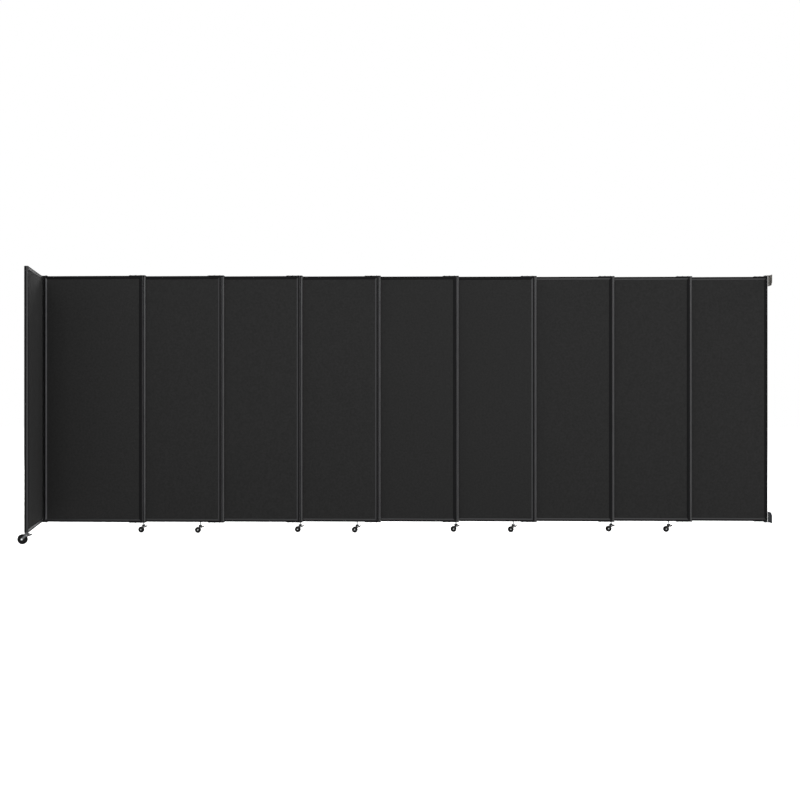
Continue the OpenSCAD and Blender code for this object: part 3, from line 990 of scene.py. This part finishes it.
# %% The two sizes
small = {
    "wheel_r": 24, "wheel_w": 18, "trail": 20, "stem_r": 5, "crown_z": 55, "crown_h": 10,
    "crown_r": 15, "axle_head": 4.4, "brake": (6, 46), "knee": (17, 48), "tip": (25, 53.6),
}
large = {
    "wheel_r": 37.5, "wheel_w": 25, "trail": 34, "stem_r": 6, "crown_z": 74, "crown_h": 8,
    "crown_r": 20, "axle_head": 7.6, "brake": (6, 65), "knee": (22, 67), "tip": (33.6, 75.3),
}
tyre_t, boss_r, axle_r = 7, 8, 3
brake_pin_r, brake_boss_r = 2, 5
wheel_gap, leg_t, pedal_side = 2, 2.5, 0.4
block_top = 13  # the block that a stem enters ends this far below its rail's upper face
rail_inside = z_low + bar_w - block_top
print("stems end under", round(rail_inside, 2))


def stem_place(name):
    low, high = (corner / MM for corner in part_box(f"{name}_fork"))
    crown_r = large["crown_r"] if name == "end_caster" else small["crown_r"]
    return Vector((high.x - crown_r, (low.y + high.y) / 2, 0))


def side_view(stem, x, z, y=0.0):
    """A place in a caster's side view, measured from its stem."""
    return (stem.x + x, stem.y + y, z)


# %% [markdown]
# ## Tyre and hub
# A wheel is a turned thing. A many-sided disc is opened into a ring for the tyre, and its
# two outer rims are rounded generously, because a rubber tread is never square. The hub is
# a disc dished on both sides by inset and extrude, with a boss for the axle and six ribs.

# %% Tyre
tread_share = 0.22


def rim_edges(stem, kind, radius):
    hub_x = stem.x - kind["trail"]

    def test(edge):
        return abs(along(edge).y) < 0.5 and all(
            abs(math.hypot(v.co.x / MM - hub_x, v.co.z / MM - kind["wheel_r"]) - radius) < 0.05
            for v in edge.verts
        )
    return test


def make_tyre(stem, kind):
    hub = side_view(stem, -kind["trail"], kind["wheel_r"])
    tyre = start_disc("tyre", hub, kind["wheel_r"], kind["wheel_w"], "Y", 80)
    pick(tyre, "FACE", lambda f: abs(f.normal.y) > 0.99)
    bpy.ops.mesh.inset(thickness=tyre_t * MM)
    bpy.ops.mesh.bridge_edge_loops()
    pick(tyre, "EDGE", rim_edges(stem, kind, kind["wheel_r"]))
    round_off(tread_share * kind["wheel_w"], 5)
    return leave(tyre)


# %% Hub
rim_t, rim_in, rib_t, dish_share = 2.5, 1, 2, 0.3


def make_hub(stem, kind):
    hub = side_view(stem, -kind["trail"], kind["wheel_r"])
    rim_r = kind["wheel_r"] - tyre_t - hair
    rim_w = kind["wheel_w"] - 2 * rim_in
    boss_w = kind["wheel_w"] + 2 * wheel_gap - 2 * pedal_side
    dish = dish_share * rim_w
    wheel = start_disc("hub", hub, rim_r, rim_w, "Y", 64)
    for side in (-1, 1):
        pick(wheel, "FACE", looks((0, side, 0)))
        bpy.ops.mesh.inset(thickness=rim_t * MM)
        push(y=-side * dish)
        bpy.ops.mesh.inset(thickness=(rim_r - rim_t - boss_r) * MM)
        push(y=side * (boss_w / 2 - rim_w / 2 + dish))
    leave(wheel)
    rib_l = rim_r - rim_t / 2
    for k in range(3):
        bpy.ops.object.select_all(action="DESELECT")
        bpy.ops.mesh.primitive_cube_add(
            size=1, location=Vector(hub) * MM, rotation=(0, k * math.pi / 3, 0),
            scale=Vector((2 * rib_l, rim_w - 2 * rim_in, rib_t)) * MM,
        )
        bool_with(wheel, settle("rib"), "UNION")
    return drill(wheel, hub, axle_r + shank_fit, 2 * boss_w, "Y")


# %% [markdown]
# ## Yoke, stem and axle
# A yoke leg is pressed from flat steel: wide at the axle and wide at the top, so it is a
# band round two discs again. The crown is a disc with a domed top, and the groove round it
# is the gap of the ball race. The stem's thread is made as by hand: a ring is pulled up
# half a turn and narrowed, then half a turn and widened, over and over.

# %% Yoke
crown_share = 0.3
race_share, race_h, race_d = 0.45, 0.8, 1.2  # the groove's place, height and depth
race_over = 5


def make_yoke(stem, kind):
    inner = kind["wheel_w"] / 2 + wheel_gap
    crown_z, crown_h, crown_r = kind["crown_z"], kind["crown_h"], kind["crown_r"]
    crown_top = crown_z + crown_h
    yoke = start_disc("yoke", side_view(stem, 0, crown_z + crown_h / 2), crown_r, crown_h)
    pick(yoke, "EDGE", lambda e: all(v.co.z / MM > crown_top - 0.01 for v in e.verts))
    round_off(crown_share * crown_h, 4)
    leave(yoke)
    race_place = side_view(stem, 0, crown_z + race_share * crown_h)
    race = start_disc("race", race_place, crown_r + race_over, race_h)
    bool_with(race, start_disc("core", race_place, crown_r - race_d, race_over))
    bool_with(yoke, race)
    for side in (-1, 1):
        y = side * (inner + leg_t / 2)
        leg = bar_between(
            "leg", side_view(stem, -kind["trail"], kind["wheel_r"], y), boss_r,
            side_view(stem, 0, crown_top - boss_r - 1, y), boss_r, leg_t, "Y",
        )
        ear = start_disc("ear", side_view(stem, *kind["brake"], y), brake_boss_r, leg_t, "Y")
        bool_with(leg, ear, "UNION")
        soften(leg, 0.5)
        bool_with(yoke, leg, "UNION")
    drill(yoke, side_view(stem, -kind["trail"], kind["wheel_r"]), axle_r + shank_fit, 4 * inner, "Y")
    drill(yoke, side_view(stem, *kind["brake"]), brake_pin_r + shank_fit, 4 * inner, "Y")
    drill(yoke, side_view(stem, 0, crown_z), kind["stem_r"] + shank_fit, 4 * crown_h)
    return yoke


# %% Stem with its thread and nut
pitch, thread_d, plain_l = 1.5, 0.6, 2
collar_r, collar_h, collar_in = 7.5, 1.5, 1.6
nut_h, stem_short = 2.5, 1


def make_stem(stem, kind):
    bottom, top = kind["crown_z"] - collar_in, rail_inside - stem_short
    rod = start_disc("rod", side_view(stem, 0, bottom + collar_h / 2), collar_r, collar_h)
    crown_top = kind["crown_z"] + kind["crown_h"]
    centre = Vector(side_view(stem, 0, 0)) * MM
    pick(rod, "FACE", looks((0, 0, 1)))
    bpy.ops.mesh.inset(thickness=(collar_r - kind["stem_r"]) * MM)
    push(z=crown_top + plain_l - bottom - collar_h)
    narrow = (kind["stem_r"] - thread_d) / kind["stem_r"]
    turns = int((top - crown_top - plain_l) / pitch)
    for k in range(2 * turns):
        push(z=pitch / 2)
        factor = narrow if k % 2 == 0 else 1 / narrow
        bpy.ops.transform.resize(value=(factor, factor, 1), center_override=centre)
    leave(rod)
    nut_z = crown_top + hair + nut_h / 2
    nut = start_disc("nut", side_view(stem, 0, nut_z), collar_r, nut_h, sides=6)
    soften(nut, 0.3)
    return join("rod", [rod, nut])


# %% Axle and brake pin
head_h, head_out, rod_out = 1.3, 0.8, 1.5
brake_head_r = 3.2


def make_axle(stem, kind):
    outer = kind["wheel_w"] / 2 + wheel_gap + leg_t
    hub = (-kind["trail"], kind["wheel_r"])
    parts = []
    for place, radius, head_r, sides in (
        (hub, axle_r, kind["axle_head"], 6),
        (kind["brake"], brake_pin_r, brake_head_r, 24),
    ):
        parts.append(start_disc("axle", side_view(stem, *place), radius, 2 * (outer + rod_out), "Y", 32))
        for side in (-1, 1):
            head_place = side_view(stem, *place, side * (outer + head_out))
            head = start_disc("head", head_place, head_r, head_h, "Y", sides)
            parts.append(soften(head, 0.3))
    return join("axle", parts)


# %% [markdown]
# ## Brake pedal
# The pedal is a hub on its own pin, with a nose towards the tyre and a bent tab to tread
# on. Three bands are welded to the hub, and three low ridges keep a shoe from slipping.

# %% Pedal
brake_turn = 20  # degrees that the pedal tips to bring its nose to the tyre
nose_r, nose_gap = 3.5, 0.4
nose_band_r, arm_band_r, tab_band_r, taper = 3.45, 4.4, 4.35, 0.02
ridge_r, ridge_up, ridge_share = 0.7, 4.2, 0.8


def make_pedal(stem, kind):
    width = kind["wheel_w"] + 2 * wheel_gap - 2 * pedal_side
    brake, knee, tip = (Vector(kind[key]) for key in ("brake", "knee", "tip"))
    to_hub = Vector((-kind["trail"], kind["wheel_r"])) - brake
    turn = math.atan2(to_hub.y, to_hub.x) + math.radians(brake_turn)
    reach = to_hub.length - kind["wheel_r"] - nose_r - nose_gap
    nose = brake + reach * Vector((math.cos(turn), math.sin(turn)))
    pedal = start_disc("pedal", side_view(stem, *brake), brake_boss_r, width, "Y", 40)
    bands = ((brake, nose, nose_band_r), (brake, knee, arm_band_r), (knee, tip, tab_band_r))
    for a, b, radius in bands:
        a, b = side_view(stem, *a), side_view(stem, *b)
        bool_with(pedal, bar_between("band", a, radius, b, radius - taper, width, "Y"), "UNION")
    lift = (tip - knee).orthogonal().normalized()
    for share in (0.45, 0.7, 0.95):
        ridge_place = side_view(stem, *(knee + share * (tip - knee) + ridge_up * lift))
        ridge = start_disc("ridge", ridge_place, ridge_r, ridge_share * width, "Y", 16)
        bool_with(pedal, ridge, "UNION")
    return drill(pedal, side_view(stem, *brake), brake_pin_r + shank_fit, 2 * width, "Y")


# %% Eight small casters and the large one
def caster_set(first, kind, yoke_finish):
    stem = stem_place(first)
    return {
        "tyre": (make_tyre(stem, kind), black_rubber, "wheel", "wheel"),
        "hub": (make_hub(stem, kind), hub_nylon, "wheel", "wheel"),
        "yoke": (make_yoke(stem, kind), yoke_finish, "yoke", "fork"),
        "stem": (make_stem(stem, kind), bright_zinc, "yoke", "fork"),
        "axle": (make_axle(stem, kind), bright_zinc, "yoke", "fork"),
        "lever": (make_pedal(stem, kind), moulded_nylon, "pedal", "pedal"),
    }


def place_casters(names, kind, yoke_finish):
    models = caster_set(names[0], kind, yoke_finish)
    for label, (model, material, slot, node) in models.items():
        for name in names:
            there = move(*(stem_place(name) - stem_place(names[0])))
            dress(twin(model, f"{name}_{label}", there), material, slot, f"{name}_{node}")
        print(label, "faces:", len(model.data.polygons))
        bpy.data.objects.remove(model)


place_casters([f"caster_{k}" for k in range(1, casters + 1)], small, black_enamel)
place_casters(["end_caster"], large, grey_steel)

# %% [markdown]
# ## Floor, world and lamps
# The photograph has a white ground and no hard shadow. The world is white wherever the
# camera, a gloss or a glass looks at it, and dimmer as a light. The floor is a plain pale
# sheet. Two wide lamps stand high behind the camera, where the flat faces don't mirror
# them. One more lights the back, and two at the ends of the run light the two sides of
# the end panel.

# %% What looks at a surface
def seen_by(tree, *kinds):
    """One where a ray of these kinds looks, and nothing where light falls."""
    ray = add_node(tree, "ShaderNodeLightPath").outputs
    seen = ray[kinds[0]]
    for kind in kinds[1:]:
        seen = add_node(tree, "ShaderNodeMath", {0: seen, 1: ray[kind]}, operation="MAXIMUM").outputs[0]
    return seen


# %% White floor
bpy.ops.object.select_all(action="DESELECT")
bpy.ops.mesh.primitive_plane_add(size=60, location=(0, 0, 0))
floor = settle("floor")
floor_glow = 0.75
floor_paint = bpy.data.materials.new("white_floor")
floor_paint.use_nodes = True
tree = floor_paint.node_tree
tree.nodes.clear()
matt = add_node(tree, "ShaderNodeBsdfDiffuse", {"Color": linear("#F4F4F4")})
seen = seen_by(tree, "Is Camera Ray", "Is Glossy Ray")
shine = add_node(tree, "ShaderNodeMath", {0: seen, 1: floor_glow}, operation="MULTIPLY")
glow = add_node(tree, "ShaderNodeEmission", {"Strength": shine.outputs[0]})
both = add_node(tree, "ShaderNodeAddShader", {0: matt.outputs[0], 1: glow.outputs[0]})
add_node(tree, "ShaderNodeOutputMaterial", {"Surface": both.outputs[0]})
floor.data.materials.append(floor_paint)
print("floor glow:", floor_glow)

# %% World
room_light = 0.35
world = bpy.data.worlds.new("studio")
bpy.context.scene.world = world
world.use_nodes = True
tree = world.node_tree
tree.nodes.clear()
seen = seen_by(tree, "Is Camera Ray", "Is Glossy Ray", "Is Transmission Ray")
strength = add_node(tree, "ShaderNodeMapRange", {"Value": seen, "To Min": room_light, "To Max": 1.0})
white = add_node(
    tree, "ShaderNodeBackground", {"Color": (1, 1, 1, 1), "Strength": strength.outputs["Result"]}
)
add_node(tree, "ShaderNodeOutputWorld", {"Surface": white.outputs[0]})
print("light of the world:", room_light)


# %% Lamps
def lamp(name, place, target, width, height, watts):
    data = bpy.data.lights.new(name, "AREA")
    data.shape = "RECTANGLE"
    data.size, data.size_y, data.energy = width, height, watts
    made = bpy.data.objects.new(name, data)
    made.location = place
    made.rotation_euler = (Vector(target) - Vector(place)).to_track_quat("-Z", "Y").to_euler()
    bpy.context.scene.collection.objects.link(made)


lamp("front", (-1.5, -14.0, 7.0), (-1.0, 0.0, 1.0), 5, 4, 520)
lamp("right", (3.5, -12.0, 6.5), (-2.0, 0.0, 1.0), 4, 4, 680)
lamp("back", (-4.0, 10.0, 6.0), (0.0, 0.0, 1.0), 5, 4, 850)
lamp("left_end", (-9.0, 1.5, 5.0), (-3.0, 0.0, 1.0), 3, 3, 300)
lamp("right_end", (10.0, 0.5, 6.0), (-3.0, 0.0, 1.0), 3, 3, 400)

bpy.context.scene.view_settings.view_transform = "Standard"
print("lamps:", len(bpy.data.lights))
